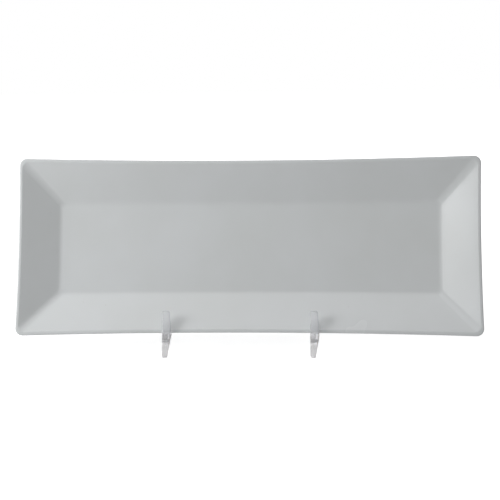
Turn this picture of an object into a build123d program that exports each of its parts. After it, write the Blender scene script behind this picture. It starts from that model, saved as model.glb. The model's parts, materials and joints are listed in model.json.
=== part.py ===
from build123d import *
from math import asin, atan2, cos, degrees, hypot, radians, sin, tan
import os

os.makedirs("parts", exist_ok=True)

# A rectangular china serving platter, displayed on a clear folding plate stand.
# Millimetres. X runs along the platter, the front faces -Y, the table is Z = 0,
# and the origin is the middle of the whole object's footprint.

# ---- driving dimensions: the platter ----
platter_length = 356.0      # corner to corner along a long side
platter_width = 138.0       # corner to corner along a short side
long_side_bow = 2.7         # how far the middle of a long side is drawn in from its corners
short_side_bow = 1.1        # the same on a short side
outer_corner_radius = 6.0
end_rim_run = 30.5          # corner of the outline in to the crease of the serving floor, at the ends
side_rim_run = 33.25        # the same along the long sides
well_corner_radius = 8.0
well_long_bow = 0.8
well_short_bow = 0.4
rim_rise = 14.5             # serving floor to the top of the lip
floor_thickness = 4.5
well_back_step = 1.2        # the back of the well is this much larger than its front, each side
lip_thickness = 3.2
lip_width = 2.0             # from the outline in to where the rim starts down
lip_radius = 1.5
crease_radius = 22.0        # soft bend between serving floor and rim, on the front
back_crease_radius = 12.0   # the same on the back
foot_inset = 7.0            # from the back of the well in to the foot ring
foot_ring_width = 5.0
foot_ring_height = 3.0
foot_corner_radius = 9.0
foot_edge_radius = 1.0

# ---- driving dimensions: the stand ----
lean = 18.0                 # the platter leans back by this, from upright
stand_depth = 112.0         # front toes to rear feet
arm_spacing = 112.0         # arm to arm, centre to centre
stand_shift = -6.0          # the stand stands this far off the platter's middle
arm_thickness = 4.2
seat_extra = 2.8            # the front swells this far out of the arm's right face, at the ledge
tip_extra = 1.4             # the same at the hook's tip; at the toe's sole there is none
seat_depth = 9.0            # hook's front to the back of that swelling
ledge_height = 16.2         # top of the ledge that carries the platter, above the table
ledge_thickness = 4.6
hook_length = 16.5          # along the platter's face, above the ledge
hook_thickness = 4.4
hook_tip_radius = 1.9
hook_root_radius = 0.8      # inside corner between hook and ledge
toe_length = 5.6            # front to back, where the toe meets the table
toe_front_radius = 2.2
toe_back_radius = 1.8
upright_width = 10.0
arch_radius = 8.0           # under the ledge, behind the toe
corner_radius = 4.0         # the arm's other corners
plate_edge_radius = 1.2     # moulded rounding of every plate edge
hinge_height = 36.0         # along the upright, above the platter's middle
head_top = 12.0             # the arm's head above the hinge
head_margin = 5.0           # plastic round the stop bar's hole
head_sweep = 15.0           # length of the slope from the upright out to the head
head_sweep_radius = 12.0
head_corner_radius = 6.0
leg_width = 9.0
foot_rounding = 1.5         # corners of a rear foot
rod_diameter = 4.0          # steel hinge rod
rod_chamfer = 0.4
bar_diameter = 7.0          # clear cross bars, between their shoulders
tenon_diameter = 4.0        # their turned-down ends
stop_bar_drop = 15.0        # stop bar below the hinge, measured along the open leg
stretcher_height = 26.0     # above the table
front_bar_rise = 2.6        # front bar's middle above the ledge
washer_diameter = 7.6
washer_thickness = 0.8
cap_diameter = 7.6
cap_length = 4.0
cap_wall = 1.1

# ---- fits ----
seat_gap = 0.4              # platter to ledge, and platter to upright
hook_gap = 0.4              # platter's face to hook
running_gap = 0.15          # a hole round a pin that turns in it, per side
tenon_gap = 0.05            # a hole round a glued tenon, per side
side_gap = 0.1              # between a turning leg and the pieces beside it
fold_gap = 0.5              # folded leg to the front bar

# ---- the platter's own plane: X along it, Y up its face, normal towards the viewer ----
lean_sin = sin(radians(lean))
lean_cos = cos(radians(lean))
platter_depth = rim_rise + floor_thickness + foot_ring_height

# Arms left and right of the platter's middle, and the platter's lower edge above them.
arm_x = [stand_shift - arm_spacing / 2, stand_shift + arm_spacing / 2]
widest_reach = max(abs(x) for x in arm_x)
edge_at_arm = platter_width / 2 - long_side_bow * (1 - (2 * widest_reach / platter_length) ** 2)
lip_half = lip_thickness / 2

# The lip is a round bead of half its thickness, and its lowest point sits on the ledge.
plate_z = (ledge_height + seat_gap + (edge_at_arm - lip_half) * lean_cos
           + lip_half * lean_sin + lip_half)
front_n = hook_gap + hook_thickness
toe_front = -stand_depth / 2
plate_y = toe_front + front_n / lean_cos + plate_z * tan(radians(lean))
platter_plane = Plane(origin=(0, plate_y, plate_z), x_dir=(1, 0, 0), z_dir=(0, -lean_cos, lean_sin))


def on_plate(up, out):
    """World (y, z) of a point `up` the platter's face and `out` in front of it."""
    return (plate_y + up * lean_sin - out * lean_cos, plate_z + up * lean_cos + out * lean_sin)


def at_height(z, out):
    """World (y, z) of the point at height z on the line `out` in front of the platter."""
    return on_plate((z - plate_z - out * lean_sin) / lean_cos, out)


def outline(height, length, width, long_bow, short_bow, radius):
    """Rectangle with sides drawn in towards their middles and round corners, at a height on the plate."""
    with BuildSketch(platter_plane.offset(height)) as shape:
        with BuildLine():
            ThreePointArc((-length / 2, -width / 2), (0, long_bow - width / 2), (length / 2, -width / 2))
            ThreePointArc((length / 2, -width / 2), (length / 2 - short_bow, 0), (length / 2, width / 2))
            ThreePointArc((length / 2, width / 2), (0, width / 2 - long_bow), (-length / 2, width / 2))
            ThreePointArc((-length / 2, width / 2), (short_bow - length / 2, 0), (-length / 2, -width / 2))
        make_face()
        fillet(shape.vertices(), radius)
    return shape.sketch


def edges_at(builder, height):
    """The edges that lie flat at one height on the platter's own plane."""
    return builder.edges().filter_by(
        lambda edge: all(abs(platter_plane.to_local_coords(edge.position_at(t)).Z - height) < 0.001
                         for t in (0, 0.5, 1)))


# ---- the platter: one piece of fired porcelain ----
floor_level = -rim_rise
well_length = platter_length - 2 * end_rim_run
well_width = platter_width - 2 * side_rim_run
back_level = floor_level - floor_thickness
well_back_length = well_length + 2 * well_back_step
well_back_width = well_width + 2 * well_back_step
foot_length = well_back_length - 2 * foot_inset
foot_width = well_back_width - 2 * foot_inset

well_back = outline(back_level, well_back_length, well_back_width, well_long_bow,
                    well_short_bow, well_corner_radius)
rim_back = outline(-lip_thickness, platter_length, platter_width, long_side_bow,
                   short_side_bow, outer_corner_radius)
serving_floor = outline(floor_level, well_length, well_width, well_long_bow,
                        well_short_bow, well_corner_radius)
lip_inside = outline(0, platter_length - 2 * lip_width, platter_width - 2 * lip_width,
                     long_side_bow, short_side_bow, outer_corner_radius - lip_width / 2)
foot_plane = platter_plane.offset(back_level - foot_ring_height)

with BuildPart() as platter:
    # outside of the shell: back of the well out to the outline, then up the lip
    loft([well_back, rim_back], ruled=True)
    extrude(rim_back, amount=lip_thickness)
    # the hollow: serving floor out to the inside of the lip
    loft([serving_floor, lip_inside], ruled=True, mode=Mode.SUBTRACT)
    # soft bend all round the serving floor, on its front and on its back, and a round lip
    fillet(edges_at(platter, floor_level), crease_radius)
    fillet(edges_at(platter, back_level), back_crease_radius)
    fillet(edges_at(platter, 0), lip_radius)
    fillet(edges_at(platter, -lip_thickness), lip_radius)
    # foot ring under the well
    with BuildSketch(foot_plane):
        RectangleRounded(foot_length, foot_width, foot_corner_radius)
        RectangleRounded(foot_length - 2 * foot_ring_width, foot_width - 2 * foot_ring_width,
                         foot_corner_radius - foot_ring_width, mode=Mode.SUBTRACT)
    extrude(amount=foot_ring_height)
platter.part.label = "platter"
export_step(platter.part, "parts/platter.step")


# ---- the stand: where its joints lie, seen from the side as (y, z) ----
upright_front = -(platter_depth + seat_gap)
upright_back = upright_front - upright_width
upright_middle = upright_front - upright_width / 2
hinge = on_plate(hinge_height, upright_middle)
rear_foot = (stand_depth / 2 - leg_width / 2, 0)
leg_run = rear_foot[0] - hinge[0]
leg_angle = atan2(leg_run, hinge[1])                # open leg from upright, radians
leg_down = (sin(leg_angle), -cos(leg_angle))        # along the open leg, from hinge to foot
leg_rear = (cos(leg_angle), sin(leg_angle))         # square to it, to the back

leg_eye_radius = upright_width / 2                  # flush with the upright, seen from the side
rod_radius = rod_diameter / 2
bar_radius = bar_diameter / 2
tenon_hole = tenon_diameter / 2 + tenon_gap
rod_hole = rod_radius + running_gap


def along_leg(down, rear):
    """World (y, z) of a point `down` the open leg from the hinge and `rear` behind its middle."""
    return (hinge[0] + down * leg_down[0] + rear * leg_rear[0],
            hinge[1] + down * leg_down[1] + rear * leg_rear[1])


stop_bar_at = along_leg(stop_bar_drop, leg_width / 2 + bar_radius + seat_gap)
stretcher_at = along_leg((hinge[1] - stretcher_height) / cos(leg_angle), 0)
front_bar_at = at_height(ledge_height + front_bar_rise, upright_middle)
bar_to_hinge = hypot(hinge[0] - front_bar_at[0], hinge[1] - front_bar_at[1])
folded_angle = asin((leg_width / 2 + bar_radius + fold_gap) / bar_to_hinge)
fold_travel = degrees(leg_angle) + lean - degrees(folded_angle)

# Stop bar's place as it lies on the platter's plane, for the shape of the arm's head.
stop_up = ((stop_bar_at[0] - plate_y) * lean_sin + (stop_bar_at[1] - plate_z) * lean_cos)
stop_out = (-(stop_bar_at[0] - plate_y) * lean_cos + (stop_bar_at[1] - plate_z) * lean_sin)
head_reach = stop_out - bar_radius - head_margin
underside = ledge_height - ledge_thickness
hook_top = hook_length - edge_at_arm
seat_back = platter_plane.offset(front_n - seat_depth)


def arm_side(x):
    """Side view of an arm: toe, hook, ledge, upright, and a head for the hinge and the stop bar."""
    toe_back = toe_front + toe_length
    profile = [
        ((toe_front, 0), toe_front_radius),
        ((toe_back, 0), toe_back_radius),
        ((toe_back + underside * tan(radians(lean)) / 2, underside), arch_radius),
        (at_height(underside, upright_back), corner_radius),
        (on_plate(stop_up - head_sweep, upright_back), head_sweep_radius),
        (on_plate(stop_up - head_margin, head_reach), head_margin),
        (on_plate(stop_up + head_margin + bar_radius, head_reach), head_corner_radius),
        (on_plate(hinge_height + head_top, upright_back), head_corner_radius),
        (on_plate(hinge_height + head_top, upright_front), corner_radius),
        (at_height(ledge_height, upright_front), corner_radius),
        (at_height(ledge_height, hook_gap), hook_root_radius),
        (on_plate(hook_top, hook_gap), hook_tip_radius),
        (on_plate(hook_top, front_n), hook_tip_radius),
    ]
    with BuildSketch(Plane.YZ.offset(x)) as side:
        with BuildLine():
            FilletPolyline([point for point, _ in profile], radius=[r for _, r in profile], close=True)
        make_face()
    return side.sketch


def arm_front(x):
    """Front of an arm, toe to hook: flat on its left, and swelling to its right round the ledge."""
    left_face = x - arm_thickness / 2
    right_face = x + arm_thickness / 2
    hook_tip = on_plate(hook_top, front_n)[1]
    with BuildPart() as front:
        extrude(arm_side(left_face), amount=arm_thickness + seat_extra)
        split(bisect_by=seat_back, keep=Keep.TOP)
        with BuildSketch(Plane.XZ):
            with BuildLine():
                Polyline((left_face, 0), (right_face, 0), (right_face + seat_extra, ledge_height),
                         (right_face + tip_extra, hook_tip), (left_face, hook_tip), close=True)
            make_face()
        extrude(amount=stand_depth, both=True, mode=Mode.INTERSECT)
        # every edge of both sides, but for the seam where the flat left side runs on into the ledge
        sides = front.faces().filter_by(lambda face: abs(face.normal_at().X) > 0.9)
        fillet(sides.edges().filter_by(
            lambda edge: edge.center().X > x or abs(seat_back.to_local_coords(edge.center()).Z) > 0.001),
            plate_edge_radius)
    return front


def side_arm(x):
    """One moulding serves both sides: a flat plate with rounded edges, and the wider front."""
    front = arm_front(x)
    with BuildPart() as arm:
        extrude(arm_side(x), amount=arm_thickness / 2, both=True)
        fillet(arm.faces().filter_by(Axis.X).edges(), plate_edge_radius)
        split(bisect_by=seat_back, keep=Keep.BOTTOM)
        add(front.part)
        with BuildSketch(Plane.YZ.offset(x)):
            with Locations(hinge):
                Circle(rod_radius + tenon_gap)
            with Locations(stop_bar_at, front_bar_at):
                Circle(tenon_hole)
        extrude(amount=arm_thickness, both=True, mode=Mode.SUBTRACT)
    return arm


def cross_bar(place, inner_span, outer_span):
    """Round bar with a tenon turned on each end, from arm to arm or from leg to leg."""
    with BuildPart() as bar:
        with BuildSketch(Plane.YZ.offset(stand_shift)):
            with Locations(place):
                Circle(bar_radius)
        extrude(amount=inner_span / 2, both=True)
        with BuildSketch(Plane.YZ.offset(stand_shift)):
            with Locations(place):
                Circle(tenon_diameter / 2)
        extrude(amount=outer_span / 2, both=True)
    return bar


arm_inside = arm_spacing - arm_thickness            # clear width between the arms
arm_outside = arm_spacing + arm_thickness
leg_outside = arm_inside - 2 * (washer_thickness + 2 * side_gap)
leg_spacing = leg_outside - arm_thickness
leg_inside = leg_spacing - arm_thickness

left_arm = side_arm(arm_x[0])
left_arm.part.label = "left_arm"
export_step(left_arm.part, "parts/left_arm.step")

right_arm = side_arm(arm_x[1])
right_arm.part.label = "right_arm"
export_step(right_arm.part, "parts/right_arm.step")

front_bar = cross_bar(front_bar_at, arm_inside, arm_outside)
front_bar.part.label = "front_bar"
export_step(front_bar.part, "parts/front_bar.step")

stop_bar = cross_bar(stop_bar_at, arm_inside, arm_outside)
stop_bar.part.label = "stop_bar"
export_step(stop_bar.part, "parts/stop_bar.step")

# ---- the folding rear legs ----


def rear_leg(x):
    """Straight flat leg with a round eye on the hinge rod and a foot cut level with the table."""
    half = leg_width / 2
    past_table = 2 * leg_width
    leg_length = hypot(leg_run, hinge[1])
    with BuildPart() as leg:
        with BuildSketch(Plane.YZ.offset(x)) as side:
            with Locations(hinge):
                Circle(leg_eye_radius)
            with BuildLine():
                Polyline(along_leg(0, -half), along_leg(leg_length + past_table, -half),
                         along_leg(leg_length + past_table, half), along_leg(0, half), close=True)
            make_face()
            with Locations((rear_foot[0], -past_table)):
                Rectangle(stand_depth, 2 * past_table, mode=Mode.SUBTRACT)
            fillet(side.vertices().group_by(Axis.Y)[0], foot_rounding)
        extrude(amount=arm_thickness / 2, both=True)
        fillet(leg.faces().filter_by(Axis.X).edges(), plate_edge_radius)
        with BuildSketch(Plane.YZ.offset(x)):
            with Locations(hinge):
                Circle(rod_hole)
            with Locations(stretcher_at):
                Circle(tenon_hole)
        extrude(amount=arm_thickness, both=True, mode=Mode.SUBTRACT)
    return leg


left_rear_leg = rear_leg(stand_shift - leg_spacing / 2)
left_rear_leg.part.label = "left_rear_leg"
export_step(left_rear_leg.part, "parts/left_rear_leg.step")

right_rear_leg = rear_leg(stand_shift + leg_spacing / 2)
right_rear_leg.part.label = "right_rear_leg"
export_step(right_rear_leg.part, "parts/right_rear_leg.step")

rear_stretcher = cross_bar(stretcher_at, leg_inside, leg_outside)
rear_stretcher.part.label = "rear_stretcher"
export_step(rear_stretcher.part, "parts/rear_stretcher.step")

# ---- the hinge: steel rod, spacer tube, washers and push-on caps ----
rod_length = arm_outside + 2 * (cap_length - cap_wall)

with BuildPart() as hinge_rod:
    with BuildSketch(Plane.YZ.offset(stand_shift)):
        with Locations(hinge):
            Circle(rod_radius)
    extrude(amount=rod_length / 2, both=True)
    chamfer(hinge_rod.faces().filter_by(Axis.X).edges(), rod_chamfer)
hinge_rod.part.label = "hinge_rod"
export_step(hinge_rod.part, "parts/hinge_rod.step")

with BuildPart() as spacer_tube:
    with BuildSketch(Plane.YZ.offset(stand_shift)):
        with Locations(hinge):
            Circle(bar_radius)
            Circle(rod_hole, mode=Mode.SUBTRACT)
    extrude(amount=leg_inside / 2 - side_gap, both=True)
spacer_tube.part.label = "spacer_tube"
export_step(spacer_tube.part, "parts/spacer_tube.step")


def washer(side):
    """Thin washer on the rod between one arm and its rear leg."""
    middle = stand_shift + side * (arm_inside / 2 - side_gap - washer_thickness / 2)
    with BuildPart() as ring:
        with BuildSketch(Plane.YZ.offset(middle)):
            with Locations(hinge):
                Circle(washer_diameter / 2)
                Circle(rod_hole, mode=Mode.SUBTRACT)
        extrude(amount=washer_thickness / 2, both=True)
    return ring


def rod_cap(side):
    """Domed cap pushed over the end of the rod, tight against the arm."""
    seat = Plane(origin=(stand_shift + side * arm_outside / 2, hinge[0], hinge[1]),
                 x_dir=(0, 1, 0), z_dir=(side, 0, 0))
    with BuildPart() as cap:
        with BuildSketch(seat):
            Circle(cap_diameter / 2)
        extrude(amount=cap_length)
        fillet(cap.faces().sort_by(Axis((0, 0, 0), (side, 0, 0)))[-1].edges(), cap_length / 2)
        with BuildSketch(seat):
            Circle(rod_radius)
        extrude(amount=cap_length - cap_wall, mode=Mode.SUBTRACT)
    return cap


left_washer = washer(-1)
left_washer.part.label = "left_washer"
export_step(left_washer.part, "parts/left_washer.step")

right_washer = washer(1)
right_washer.part.label = "right_washer"
export_step(right_washer.part, "parts/right_washer.step")

left_rod_cap = rod_cap(-1)
left_rod_cap.part.label = "left_rod_cap"
export_step(left_rod_cap.part, "parts/left_rod_cap.step")

right_rod_cap = rod_cap(1)
right_rod_cap.part.label = "right_rod_cap"
export_step(right_rod_cap.part, "parts/right_rod_cap.step")

print("hinge y, z", round(hinge[0], 3), round(hinge[1], 3), "fold travel", round(fold_travel, 2))
print("plate y, z", round(plate_y, 3), round(plate_z, 3))
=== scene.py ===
# A glazed china serving platter leaning in a clear folding plate stand.
# The scene is in metres. Lengths in the pieces' and finishes' dictionaries are millimetres.
import json
import math
import bmesh
import bpy
import numpy as np
from mathutils import Matrix

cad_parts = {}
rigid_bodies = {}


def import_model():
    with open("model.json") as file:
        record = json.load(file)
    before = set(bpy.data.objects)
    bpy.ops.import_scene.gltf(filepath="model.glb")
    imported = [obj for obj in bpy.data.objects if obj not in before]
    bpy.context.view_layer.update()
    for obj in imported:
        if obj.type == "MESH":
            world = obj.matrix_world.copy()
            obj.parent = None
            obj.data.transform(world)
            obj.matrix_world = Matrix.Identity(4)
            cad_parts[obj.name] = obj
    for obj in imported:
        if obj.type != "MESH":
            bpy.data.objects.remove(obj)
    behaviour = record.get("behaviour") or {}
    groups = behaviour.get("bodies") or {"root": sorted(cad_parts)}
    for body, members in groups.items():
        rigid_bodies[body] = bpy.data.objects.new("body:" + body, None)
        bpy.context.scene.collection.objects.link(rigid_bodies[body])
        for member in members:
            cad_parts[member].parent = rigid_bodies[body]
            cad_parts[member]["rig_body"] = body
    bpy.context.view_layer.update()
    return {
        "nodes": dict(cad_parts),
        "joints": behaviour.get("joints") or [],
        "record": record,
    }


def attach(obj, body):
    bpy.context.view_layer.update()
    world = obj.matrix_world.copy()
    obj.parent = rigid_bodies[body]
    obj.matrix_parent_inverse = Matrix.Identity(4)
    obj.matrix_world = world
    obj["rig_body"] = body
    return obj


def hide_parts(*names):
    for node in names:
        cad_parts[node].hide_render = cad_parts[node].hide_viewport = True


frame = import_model()
nodes = frame["nodes"]
mm = 0.001

# The serving floor's mount and the lift joint give the plane that the platter leans in.
floorMount = next(m for m in frame["record"]["mounts"] if m["name"] == "serving_floor")
liftJoint = next(j for j in frame["joints"] if j["name"] == "platter_lift")
floorCentre = np.array(floorMount["pos_m"])
faceOut = np.array(floorMount["axis"]) / np.linalg.norm(floorMount["axis"])
faceUp = np.array(liftJoint["axis"]) / np.linalg.norm(liftJoint["axis"])
faceRight = np.array([1.0, 0.0, 0.0])


# Puts new data into the scene as an object at the origin.
def addObject(name, data):
    added = bpy.data.objects.new(name, data)
    bpy.context.scene.collection.objects.link(added)
    return added


# The matrix whose columns are three unit axes and a place.
def placement(right, up, back, place):
    turn = np.identity(4)
    turn[:3] = np.column_stack([right, up, back, place])
    return Matrix(turn.tolist())


camera = {
    "azimuth": 3.68,          # degrees towards +X from straight ahead
    "elevation": 11.17,
    "roll": -0.88,
    "distance": 0.9143,       # metres from the middle of the platter's mouth
    "right": 0.0021,          # metres that it stands off that middle, sideways
    "up": -0.0034,            # and upwards
    "lens": 86.4,             # mm
    "sensor": 36.0,           # mm wide
}


# The camera stands back from the target along azimuth and elevation, and rolls about its view.
def placeCamera(look, target):
    az, el, roll = (math.radians(look[k]) for k in ("azimuth", "elevation", "roll"))
    back = np.array([math.sin(az) * math.cos(el), -math.cos(az) * math.cos(el), math.sin(el)])
    level = np.array([math.cos(az), math.sin(az), 0.0])
    upright = np.cross(back, level)
    right = level * math.cos(roll) + upright * math.sin(roll)
    up = upright * math.cos(roll) - level * math.sin(roll)
    place = target + back * look["distance"] + level * look["right"] + upright * look["up"]
    data = bpy.data.cameras.new("camera")
    data.lens = look["lens"]
    data.sensor_width = look["sensor"]
    eye = addObject("camera", data)
    eye.matrix_world = placement(right, up, back, place)
    bpy.context.scene.camera = eye


# An sRGB hex colour as linear RGBA: the sRGB curve undone for each channel.
def sRgb(hexCode):
    parts = [int(hexCode[i:i + 2], 16) / 255 for i in (0, 2, 4)]
    return tuple(c / 12.92 if c < 0.04045 else ((c + 0.055) / 1.055) ** 2.4 for c in parts) + (1.0,)


# Adds a node, sets its inputs and properties, and links its inputs, named or numbered as i0, i1...,
# from other nodes' outputs. In a colour Mix, input 0 is the share, and 6 and 7 are the two colours.
def addNode(tree, kind, settings=None, **links):
    node = tree.nodes.new(kind)
    for key, value in (settings or {}).items():
        if isinstance(key, int) or key in node.inputs:
            node.inputs[key].default_value = value
        else:
            setattr(node, key, value)
    for key, source in links.items():
        spot = int(key[1:]) if key[0] == "i" and key[1:].isdigit() else key.replace("_", " ")
        tree.links.new(source, node.inputs[spot])
    return node


# An empty node material, its Object coordinates, and the socket that its finished surface goes into.
def newMaterial(name):
    material = bpy.data.materials.new(name)
    material.use_nodes = True
    tree = material.node_tree
    tree.nodes.clear()
    surface = addNode(tree, "ShaderNodeOutputMaterial").inputs["Surface"]
    where = addNode(tree, "ShaderNodeTexCoord").outputs["Object"]
    return material, tree, where, surface


glaze = {
    "full": "d3d6d7",         # cool white body seen through clear glaze
    "thin": "cfd2d2",         # where the glaze runs thin over the body
    "thinBelow": 0.30, "fullAbove": 0.62,     # levels of the pooling noise between which the two blend
    "ior": 1.52,
    "roughness": (0.19, 0.31),                # where the pooling noise is lowest and highest
    "coat": 0.15, "coatRoughness": 0.12, "coatIor": 1.5,
    "poolMm": 60.0,           # size of the slow changes in glaze thickness
    "peelMm": 5.0, "peelHighMm": 0.2,         # orange peel left when the glaze sets
    "swellMm": 30.0, "swellHighMm": 0.5,      # slow swelling of its surface
    "speck": "9a938a", "speckShare": 0.35,    # iron specks, seen faintly through the glaze
    "speckApartMm": 14.4,
    "speckMm": (0.1728, 0.432),               # radii: solid inside, gone outside; coarse enough to show
}


def glazedPorcelain():
    # Porcelain, pressed and dipped in clear glaze: an even cool white with a soft gloss, slow
    # changes of thickness, a faint orange peel, and a few tiny specks.
    material, tree, where, surface = newMaterial("glazedPorcelain")
    pool = addNode(tree, "ShaderNodeTexNoise",
                   {"Scale": 1 / (glaze["poolMm"] * mm), "Detail": 3.0, "Roughness": 0.45}, Vector=where)
    tone = addNode(tree, "ShaderNodeValToRGB", {}, Fac=pool.outputs["Fac"])
    thin, full = tone.color_ramp.elements
    thin.position, thin.color = glaze["thinBelow"], sRgb(glaze["thin"])
    full.position, full.color = glaze["fullAbove"], sRgb(glaze["full"])
    cells = addNode(tree, "ShaderNodeTexVoronoi", {"Scale": 1 / (glaze["speckApartMm"] * mm)},
                    Vector=where)
    inner, outer = (radius / glaze["speckApartMm"] for radius in glaze["speckMm"])
    dot = addNode(tree, "ShaderNodeMapRange",
                  {"From Min": inner, "From Max": outer, "To Min": 1.0, "To Max": 0.0},
                  Value=cells.outputs["Distance"])
    faint = addNode(tree, "ShaderNodeMath", {"operation": "MULTIPLY", 1: glaze["speckShare"]},
                    i0=dot.outputs[0])
    colour = addNode(tree, "ShaderNodeMix", {"data_type": "RGBA", 7: sRgb(glaze["speck"])},
                     i0=faint.outputs[0], i6=tone.outputs["Color"])
    peel = addNode(tree, "ShaderNodeTexNoise", {"Scale": 1 / (glaze["peelMm"] * mm), "Detail": 2.0},
                   Vector=where)
    swell = addNode(tree, "ShaderNodeTexNoise", {"Scale": 1 / (glaze["swellMm"] * mm), "Detail": 1.0},
                    Vector=where)
    peeled = addNode(tree, "ShaderNodeBump", {"Strength": 0.05, "Distance": glaze["peelHighMm"] * mm},
                     Height=peel.outputs["Fac"])
    relief = addNode(tree, "ShaderNodeBump", {"Strength": 0.30, "Distance": glaze["swellHighMm"] * mm},
                     Height=swell.outputs["Fac"], Normal=peeled.outputs["Normal"])
    rough = addNode(tree, "ShaderNodeMapRange",
                    {"To Min": glaze["roughness"][0], "To Max": glaze["roughness"][1]},
                    Value=pool.outputs["Fac"])
    skin = addNode(tree, "ShaderNodeBsdfPrincipled",
                   {"IOR": glaze["ior"], "Coat Weight": glaze["coat"],
                    "Coat Roughness": glaze["coatRoughness"], "Coat IOR": glaze["coatIor"]},
                   Base_Color=colour.outputs[2], Roughness=rough.outputs[0],
                   Normal=relief.outputs["Normal"])
    tree.links.new(skin.outputs[0], surface)
    return material


biscuit = {
    "hollow": "c9c3b6", "grain": "dfdad0",
    "roughness": 0.82,
    "gritMm": 1.2, "gritHighMm": 0.15,        # coarser than real, so that it shows
}


def biscuitPorcelain():
    # The foot ring's ground edge: unglazed biscuit porcelain, matt, warmer and slightly gritty.
    material, tree, where, surface = newMaterial("biscuitPorcelain")
    grit = addNode(tree, "ShaderNodeTexNoise", {"Scale": 1 / (biscuit["gritMm"] * mm), "Detail": 4.0},
                   Vector=where)
    tone = addNode(tree, "ShaderNodeValToRGB", {}, Fac=grit.outputs["Fac"])
    tone.color_ramp.elements[0].color = sRgb(biscuit["hollow"])
    tone.color_ramp.elements[1].color = sRgb(biscuit["grain"])
    bump = addNode(tree, "ShaderNodeBump", {"Strength": 0.5, "Distance": biscuit["gritHighMm"] * mm},
                   Height=grit.outputs["Fac"])
    skin = addNode(tree, "ShaderNodeBsdfPrincipled", {"Roughness": biscuit["roughness"]},
                   Base_Color=tone.outputs["Color"], Normal=bump.outputs["Normal"])
    tree.links.new(skin.outputs[0], surface)
    return material


acrylic = {
    "face": "f0f1f3",         # looked at square on
    "edge": "c2c3c6",         # seen edge-on: painted shade, standing in for the dark edges that refraction gives
    "edgeShadeBlend": 0.35,        # higher spreads the edge's painted shade further over the face
    "foot": "d4d3d4",         # near the table: painted shade that darkens the feet
    "footMm": 10.0, "footShadeTopMm": 19.0,          # heights between which that painted shade fades out
    "ior": 1.49,
    "clear": 0.74,            # share of the light that passes through; the rest is scattered back
    "roughness": (0.16, 0.28),                # polished, scuffed
    "scuffMm": 2.5,           # fine handling scuffs
    "scuffFrom": 0.45, "scuffTo": 0.75,       # levels of their noise between which polish turns to scuff
    "flowMm": 14.0, "flowHighMm": 0.3,        # slow ripple left by the melt as it filled the mould
}


def clearAcrylic():
    # Clear acrylic, injection moulded and scuffed by use: see-through but a little milky, with painted
    # shade that greys it where seen edge-on and towards its feet, a slow ripple from the melt, and fine
    # scuffs that cloud its polish.
    material, tree, where, surface = newMaterial("clearAcrylic")
    flow = addNode(tree, "ShaderNodeTexNoise", {"Scale": 1 / (acrylic["flowMm"] * mm), "Detail": 1.0},
                   Vector=where)
    scuff = addNode(tree, "ShaderNodeTexNoise", {"Scale": 1 / (acrylic["scuffMm"] * mm), "Detail": 6.0},
                    Vector=where)
    rough = addNode(tree, "ShaderNodeMapRange",
                    {"From Min": acrylic["scuffFrom"], "From Max": acrylic["scuffTo"],
                     "To Min": acrylic["roughness"][0], "To Max": acrylic["roughness"][1]},
                    Value=scuff.outputs["Fac"])
    bump = addNode(tree, "ShaderNodeBump", {"Strength": 0.25, "Distance": acrylic["flowHighMm"] * mm},
                   Height=flow.outputs["Fac"])
    # painted shade: the colour turns greyer where the surface is seen edge-on
    slant = addNode(tree, "ShaderNodeLayerWeight", {"Blend": acrylic["edgeShadeBlend"]})
    tone = addNode(tree, "ShaderNodeMix",
                   {"data_type": "RGBA", 6: sRgb(acrylic["face"]), 7: sRgb(acrylic["edge"])},
                   i0=slant.outputs["Facing"])
    # painted shade: the plastic is darker in colour towards its feet
    height = addNode(tree, "ShaderNodeSeparateXYZ", {}, Vector=where)
    footShadeShare = addNode(tree, "ShaderNodeMapRange",
                   {"From Min": acrylic["footMm"] * mm, "From Max": acrylic["footShadeTopMm"] * mm,
                    "To Min": 1.0, "To Max": 0.0}, Value=height.outputs["Z"])
    footShaded = addNode(tree, "ShaderNodeMix", {"data_type": "RGBA", 7: sRgb(acrylic["foot"])},
                     i0=footShadeShare.outputs[0], i6=tone.outputs[2])
    skin = addNode(tree, "ShaderNodeBsdfPrincipled",
                   {"IOR": acrylic["ior"], "Transmission Weight": acrylic["clear"]},
                   Base_Color=footShaded.outputs[2], Roughness=rough.outputs[0], Normal=bump.outputs["Normal"])
    tree.links.new(skin.outputs[0], surface)
    return material


steel = {
    "colour": "b4b5b7",
    "roughness": (0.22, 0.42),
    "lineMm": 0.35, "lineHighMm": 0.02,       # drawing lines: their width and height
    "lineSquash": 0.04,                       # scale of the pattern along the rod; across it is 1
}


def drawnSteel():
    # Bright drawn steel rod: fine lines along its length, a little duller between them.
    material, tree, where, surface = newMaterial("drawnSteel")
    along = addNode(tree, "ShaderNodeMapping", {"Scale": (steel["lineSquash"], 1.0, 1.0)}, Vector=where)
    lines = addNode(tree, "ShaderNodeTexNoise", {"Scale": 1 / (steel["lineMm"] * mm), "Detail": 3.0},
                    Vector=along.outputs["Vector"])
    rough = addNode(tree, "ShaderNodeMapRange",
                    {"To Min": steel["roughness"][0], "To Max": steel["roughness"][1]},
                    Value=lines.outputs["Fac"])
    bump = addNode(tree, "ShaderNodeBump", {"Strength": 0.2, "Distance": steel["lineHighMm"] * mm},
                   Height=lines.outputs["Fac"])
    skin = addNode(tree, "ShaderNodeBsdfPrincipled", {"Base Color": sRgb(steel["colour"]), "Metallic": 1.0},
                   Roughness=rough.outputs[0], Normal=bump.outputs["Normal"])
    tree.links.new(skin.outputs[0], surface)
    return material


nickel = {
    "colour": "cfcac0",
    "roughness": (0.10, 0.26),
    "markMm": 1.5,            # handling marks
}


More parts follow.
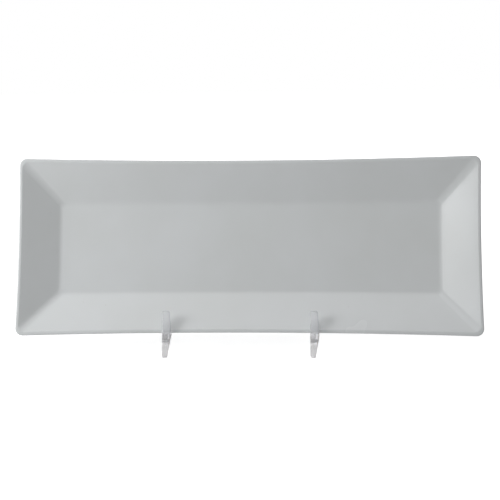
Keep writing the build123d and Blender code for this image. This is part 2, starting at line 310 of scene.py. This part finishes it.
def nickelPlate():
    # Bright nickel over pressed steel: warm mirror with light handling marks.
    material, tree, where, surface = newMaterial("nickelPlate")
    marks = addNode(tree, "ShaderNodeTexNoise", {"Scale": 1 / (nickel["markMm"] * mm), "Detail": 5.0},
                    Vector=where)
    rough = addNode(tree, "ShaderNodeMapRange",
                    {"To Min": nickel["roughness"][0], "To Max": nickel["roughness"][1]},
                    Value=marks.outputs["Fac"])
    skin = addNode(tree, "ShaderNodeBsdfPrincipled",
                   {"Base Color": sRgb(nickel["colour"]), "Metallic": 1.0}, Roughness=rough.outputs[0])
    tree.links.new(skin.outputs[0], surface)
    return material


nylon = {
    "dark": "d6d4c8", "light": "e6e5dc",
    "cloudMm": 2.0,           # mottling
    "roughness": 0.45,
    "depthShare": 0.2, "depthMm": 0.6,        # light that enters the milky plastic, and how far it spreads
}


def naturalNylon():
    # Natural nylon, punched from sheet: milky, waxy, faintly mottled.
    material, tree, where, surface = newMaterial("naturalNylon")
    cloud = addNode(tree, "ShaderNodeTexNoise", {"Scale": 1 / (nylon["cloudMm"] * mm), "Detail": 3.0},
                    Vector=where)
    tone = addNode(tree, "ShaderNodeValToRGB", {}, Fac=cloud.outputs["Fac"])
    tone.color_ramp.elements[0].color = sRgb(nylon["dark"])
    tone.color_ramp.elements[1].color = sRgb(nylon["light"])
    skin = addNode(tree, "ShaderNodeBsdfPrincipled",
                   {"Roughness": nylon["roughness"], "Subsurface Weight": nylon["depthShare"],
                    "Subsurface Scale": nylon["depthMm"] * mm}, Base_Color=tone.outputs["Color"])
    tree.links.new(skin.outputs[0], surface)
    return material


platter = {                   # mm
    "length": 355.96, "width": 137.76,
    "endRun": 30.5, "sideRun": 33.25,         # outline in to the crease of the serving floor
    "rise": 14.5, "thick": 4.5, "lip": 3.2, "lipWidth": 2.6, "lipRound": 1.2,
    "crease": 9.0, "backCrease": 12.0,        # bend radii between floor and rim
    "backStep": 1.2,                          # the crease on the back lies this far outside the front's
    "longBow": 2.7, "shortBow": 1.1,          # sides drawn in at the outline
    "wellLongBow": 0.8, "wellShortBow": 0.4,  # the same at the crease
    "cornerOut": 6.0, "cornerWell": 4.5,      # corner radii at the outline and at the crease
    "cornerEase": 0.6,                        # below 1, most of that change comes close to the lip
    "footIn": 38.9, "footWide": 5.0, "footHigh": 3.0,   # outline in to the foot ring, and its size
    "footRound": 1.0, "footRoot": 0.8,        # bend radii at its sole and at its root
    "floorEdge": 12.0, "backEdge": 6.0,       # flat strip inside the crease, and inside the foot ring
    "bareEdge": 0.25,                         # height of the foot ring's sole that has no glaze
    "sag": 0.10,                              # slow unevenness of the fired floor
    "sagFade": 40.0,                          # outline in to where that is whole
    "sagLong": 47.0, "sagWide": 31.0,         # its waves along and across, as length for one radian
    "sagTurn": 0.6, "sagDrop": 0.5,           # radians that the waves are moved by, share they sink by
}
platterSteps = {              # how finely the surface is divided
    "arc": 9, "straight": 5,                  # along the section, for each bend and each run between bends
    "corner": 15, "long": 60, "short": 24,    # around, for each corner and each side
    "floor": 10, "back": 6,                   # rings that close the middle
}
lipCentre = floorCentre + faceOut * platter["rise"] * mm


# A polyline whose corners are arcs: each arc touches both sides at radius * tan(half the turn).
def bendPath(points, radii, arcSteps, straightSteps):
    points = np.array(points, float)
    path = [points[:1]]
    for before, corner, after, radius in zip(points, points[1:], points[2:], radii):
        inWay = (corner - before) / np.linalg.norm(corner - before)
        outWay = (after - corner) / np.linalg.norm(after - corner)
        turn = math.acos(np.clip(inWay @ outWay, -1, 1))
        reach = radius * math.tan(turn / 2)
        side = np.sign(inWay[0] * outWay[1] - inWay[1] * outWay[0])
        normal = side * np.array([-inWay[1], inWay[0]])
        centre = corner - inWay * reach + normal * radius
        angle = np.linspace(0, turn, arcSteps)[:, None]
        arc = centre + radius * (np.sin(angle) * inWay - np.cos(angle) * normal)
        run = np.linspace(path[-1][-1], arc[0], straightSteps + 2)[1:-1]
        path += [run, arc]
    path.append(np.linspace(path[-1][-1], points[-1], straightSteps + 2)[1:])
    return np.concatenate(path)


# Section of the china from the serving floor, over the lip, to the back: inset from the outline, height.
def platterSection(p):
    run, back = p["sideRun"], -p["rise"] - p["thick"]
    ringOuter, ringInner, sole = p["footIn"], p["footIn"] + p["footWide"], back - p["footHigh"]
    points = [(run + p["floorEdge"], -p["rise"]), (run, -p["rise"]), (p["lipWidth"], 0), (0, 0),
              (0, -p["lip"]), (run - p["backStep"], back), (ringOuter, back), (ringOuter, sole),
              (ringInner, sole), (ringInner, back), (ringInner + p["backEdge"], back)]
    radii = [p["crease"], p["lipRound"], p["lipRound"], p["lipRound"], p["backCrease"], p["footRoot"],
             p["footRound"], p["footRound"], p["footRoot"]]
    return bendPath(points, radii, platterSteps["arc"], platterSteps["straight"])


# Once round a rectangle from its first corner: for each point the angle on its corner's circle, and
# the share of the half sides, -1 to 1, at which that circle's centre lies.
def roundRectangle():
    quarter = np.linspace(0, np.pi / 2, platterSteps["corner"])
    corners = np.array([(1.0, 1.0), (-1.0, 1.0), (-1.0, -1.0), (1.0, -1.0)])
    angles, centres = [], []
    for k, (corner, nextCorner) in enumerate(zip(corners, np.roll(corners, -1, axis=0))):
        steps = platterSteps["short" if k % 2 else "long"]
        way = np.linspace(0, 1, steps + 2)[1:-1, None]
        angles += [quarter + k * np.pi / 2, np.full(steps, (k + 1) * np.pi / 2)]
        centres += [np.tile(corner, (len(quarter), 1)), corner + way * (nextCorner - corner)]
    return np.concatenate(angles), np.concatenate(centres).T


# Rings of the section carried round a rectangle with round corners, its sides drawn in by a parabola.
def platterSurface(p):
    inset, height = platterSection(p).T
    share = np.clip(inset / p["sideRun"], 0, 1)
    halfLong = p["length"] / 2 - share * p["endRun"] - np.maximum(inset - p["sideRun"], 0)
    halfWide = p["width"] / 2 - inset
    corner = p["cornerOut"] + share ** p["cornerEase"] * (p["cornerWell"] - p["cornerOut"])
    longBow = p["longBow"] + share * (p["wellLongBow"] - p["longBow"])
    shortBow = p["shortBow"] + share * (p["wellShortBow"] - p["shortBow"])
    a, b, r, longBow, shortBow = (v[:, None] for v in (halfLong, halfWide, corner, longBow, shortBow))
    angle, (shareX, shareY) = roundRectangle()
    x = shareX * (a - r) + r * np.cos(angle)
    y = shareY * (b - r) + r * np.sin(angle)
    y = y * (1 - longBow / b * (1 - (x / a) ** 2))
    x = x * (1 - shortBow / a * (1 - (y / b) ** 2))
    z = np.broadcast_to(height[:, None], x.shape)
    return x, y, z


# Rings that shrink evenly from one ring to the middle, left one step short of it.
def closeInwards(x, y, z, ring, steps):
    k = np.linspace(1, 0, steps + 2)[1:-1, None]
    return k * x[ring], k * y[ring], np.broadcast_to(z[ring], (steps, x.shape[1]))


# Quads between neighbouring rings of a closed grid, and a fan to one point at each end.
def gridMesh(name, points, capStart, capEnd):
    rings, around = points.shape[:2]
    here = np.arange(rings * around).reshape(rings, around)
    right = np.roll(here, -1, axis=1)
    quads = np.stack([here[:-1], here[1:], right[1:], right[:-1]], axis=-1).reshape(-1, 4)
    first, last = rings * around, rings * around + 1
    fanA = np.stack([np.full(around, first), here[0], right[0]], axis=-1)
    fanB = np.stack([np.full(around, last), right[-1], here[-1]], axis=-1)
    corners = np.concatenate([points.reshape(-1, 3), [capStart, capEnd]])
    mesh = bpy.data.meshes.new(name)
    mesh.from_pydata(corners.tolist(), [], quads.tolist() + fanA.tolist() + fanB.tolist())
    mesh.update()
    return mesh


# The kiln leaves the floor a hair uneven: two slow waves, fading to none at the lip.
def sagFloor(p, x, y, z):
    inX = np.clip((p["length"] / 2 - np.abs(x)) / p["sagFade"], 0, 1)
    inY = np.clip((p["width"] / 2 - np.abs(y)) / p["sagFade"], 0, 1)
    wave = np.sin(x / p["sagLong"] + p["sagTurn"]) * np.cos(y / p["sagWide"]) - p["sagDrop"]
    return np.minimum(z + p["sag"] * inX * inY * wave, 0.0)


# The china shell as one closed surface, laid on the plane that the stand holds it in.
def makePlatter(materials):
    x, y, z = platterSurface(platter)
    front = closeInwards(x, y, z, 0, platterSteps["floor"])
    back = closeInwards(x, y, z, -1, platterSteps["back"])
    x, y, z = (np.concatenate([f[::-1], middle, b]) for f, middle, b in zip(front, (x, y, z), back))
    z = sagFloor(platter, x, y, z)
    points = lipCentre + mm * (x[..., None] * faceRight + y[..., None] * faceUp + z[..., None] * faceOut)
    capFront, capBack = (lipCentre + mm * z[ring].mean() * faceOut for ring in (0, -1))
    mesh = gridMesh("china_platter", points, capFront, capBack)
    piece = addObject("china_platter", mesh)
    mesh.materials.append(materials["porcelain"])
    mesh.materials.append(materials["biscuit"])
    # the sole of the foot ring is left bare of glaze
    centres = np.empty(len(mesh.polygons) * 3)
    mesh.polygons.foreach_get("center", centres)
    depth = (centres.reshape(-1, 3) - lipCentre) @ faceOut / mm
    sole = -platter["rise"] - platter["thick"] - platter["footHigh"]
    mesh.polygons.foreach_set("material_index", (depth < sole + platter["bareEdge"]).astype(int))
    mesh.polygons.foreach_set("use_smooth", np.ones(len(mesh.polygons), bool))
    work = bmesh.new()
    work.from_mesh(mesh)
    bmesh.ops.recalc_face_normals(work, faces=work.faces)
    work.to_mesh(mesh)
    work.free()
    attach(piece, "platter")
    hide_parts("platter")


stand = {
    "clear": ("left_arm", "right_arm", "front_bar", "stop_bar", "spacer_tube",
              "left_rear_leg", "right_rear_leg", "rear_stretcher"),
    "steel": ("hinge_rod",),
    "nickel": ("left_rod_cap", "right_rod_cap"),
    "nylon": ("left_washer", "right_washer"),
    "slots": {"clear": "clear_acrylic", "steel": "steel", "nickel": "nickel_plate", "nylon": "nylon"},
    "weldMm": 0.001,          # points nearer than this are one
    "creaseAngle": 35.0,      # degrees; softer bends than this shade smooth
}


# A CAD node's surface as a piece of its own: joined at its seams and shaded smooth up to an angle.
def smoothCopy(node, material):
    source = nodes[node]
    crease = math.radians(stand["creaseAngle"])
    mesh = bpy.data.meshes.new(node + "_polished")
    work = bmesh.new()
    work.from_mesh(source.data)
    bmesh.ops.remove_doubles(work, verts=work.verts, dist=stand["weldMm"] * mm)
    for edge in work.edges:
        edge.smooth = len(edge.link_faces) == 2 and edge.calc_face_angle(0.0) < crease
    for face in work.faces:
        face.smooth = True
    work.to_mesh(mesh)
    work.free()
    piece = addObject(node + "_polished", mesh)
    mesh.materials.append(material)
    even = piece.modifiers.new("evenShading", "WEIGHTED_NORMAL")
    even.keep_sharp = True
    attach(piece, source["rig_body"])
    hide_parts(node)


# Every piece of the stand, in the finish that its kind has.
def makeStand(materials):
    for kind, slotName in stand["slots"].items():
        for node in stand[kind]:
            smoothCopy(node, materials[kind])


studio = {
    "floorSize": 6.0,         # metres
    "floorColour": "e6e6e6",
    "floorLift": (0.74, 0.95),                # glow that is seen but lights nothing: by the object, far off
    "liftFrom": 0.25, "liftTo": 0.80,         # metres from the object over which that grows
    "ambient": 0.20,          # the surround's light on the object
    "lamps": (                # name, place, size in metres, watts; each is aimed at the platter
        ("window", (-0.85, -0.44, 0.40), 0.45, 4.9),
        ("ceiling", (-0.16, -0.54, 1.37), 1.2, 5.7),
        ("back", (0.55, 1.45, 0.60), 1.4, 8.0),
    ),
}


# 1 on camera, glossy and transmission rays, 0 on the rays that light the object.
def seenDirectly(tree):
    path = addNode(tree, "ShaderNodeLightPath")
    either = addNode(tree, "ShaderNodeMath", {"operation": "MAXIMUM"},
                     i0=path.outputs["Is Camera Ray"], i1=path.outputs["Is Glossy Ray"])
    return addNode(tree, "ShaderNodeMath", {"operation": "MAXIMUM"},
                   i0=either.outputs[0], i1=path.outputs["Is Transmission Ray"]).outputs[0]


# A pale floor that keeps the shadow, with a glow that grows with the distance from the object.
def makeFloor():
    half = studio["floorSize"] / 2
    corners = [(-half, -half, 0), (half, -half, 0), (half, half, 0), (-half, half, 0)]
    mesh = bpy.data.meshes.new("floor")
    mesh.from_pydata(corners, [], [(0, 1, 2, 3)])
    floor = addObject("floor", mesh)
    material, tree, where, surface = newMaterial("paleFloor")
    matt = addNode(tree, "ShaderNodeBsdfDiffuse", {"Color": sRgb(studio["floorColour"])})
    away = addNode(tree, "ShaderNodeVectorMath", {"operation": "LENGTH"}, i0=where)
    grown = addNode(tree, "ShaderNodeMapRange",
                    {"From Min": studio["liftFrom"], "From Max": studio["liftTo"],
                     "To Min": studio["floorLift"][0], "To Max": studio["floorLift"][1]},
                    Value=away.outputs["Value"])
    lift = addNode(tree, "ShaderNodeMath", {"operation": "MULTIPLY"},
                   i0=seenDirectly(tree), i1=grown.outputs[0])
    glow = addNode(tree, "ShaderNodeEmission", {}, Strength=lift.outputs[0])
    both = addNode(tree, "ShaderNodeAddShader", {}, i0=matt.outputs[0], i1=glow.outputs[0])
    tree.links.new(both.outputs[0], surface)
    mesh.materials.append(material)


# A surround that is white where it is seen, and gives the object only the ambient light.
def makeSurround():
    world = bpy.data.worlds.new("surround")
    bpy.context.scene.world = world
    world.use_nodes = True
    tree = world.node_tree
    tree.nodes.clear()
    level = addNode(tree, "ShaderNodeMapRange", {"To Min": studio["ambient"], "To Max": 1.0},
                    Value=seenDirectly(tree))
    sky = addNode(tree, "ShaderNodeBackground", {"Color": (1.0, 1.0, 1.0, 1.0)}, Strength=level.outputs[0])
    addNode(tree, "ShaderNodeOutputWorld", {}, Surface=sky.outputs[0])


# Square lamps: each one's back axis runs from the target to its place, so that it shines at the target.
def makeLamps(target):
    for name, place, size, watts in studio["lamps"]:
        data = bpy.data.lights.new(name, "AREA")
        data.size = size
        data.energy = watts
        back = np.array(place) - target
        back /= np.linalg.norm(back)
        right = np.cross([0, 0, 1], back)
        right /= np.linalg.norm(right)
        addObject(name, data).matrix_world = placement(right, np.cross(back, right), back, place)


placeCamera(camera, lipCentre)
print("camera placed")
finishes = {"porcelain": glazedPorcelain(), "biscuit": biscuitPorcelain(), "clear": clearAcrylic(),
            "steel": drawnSteel(), "nickel": nickelPlate(), "nylon": naturalNylon()}
print("materials made")
makePlatter(finishes)
print("platter made")
makeStand(finishes)
print("stand made")
makeFloor()
makeSurround()
makeLamps(lipCentre)
bpy.context.scene.view_settings.view_transform = "Standard"
print("studio made")
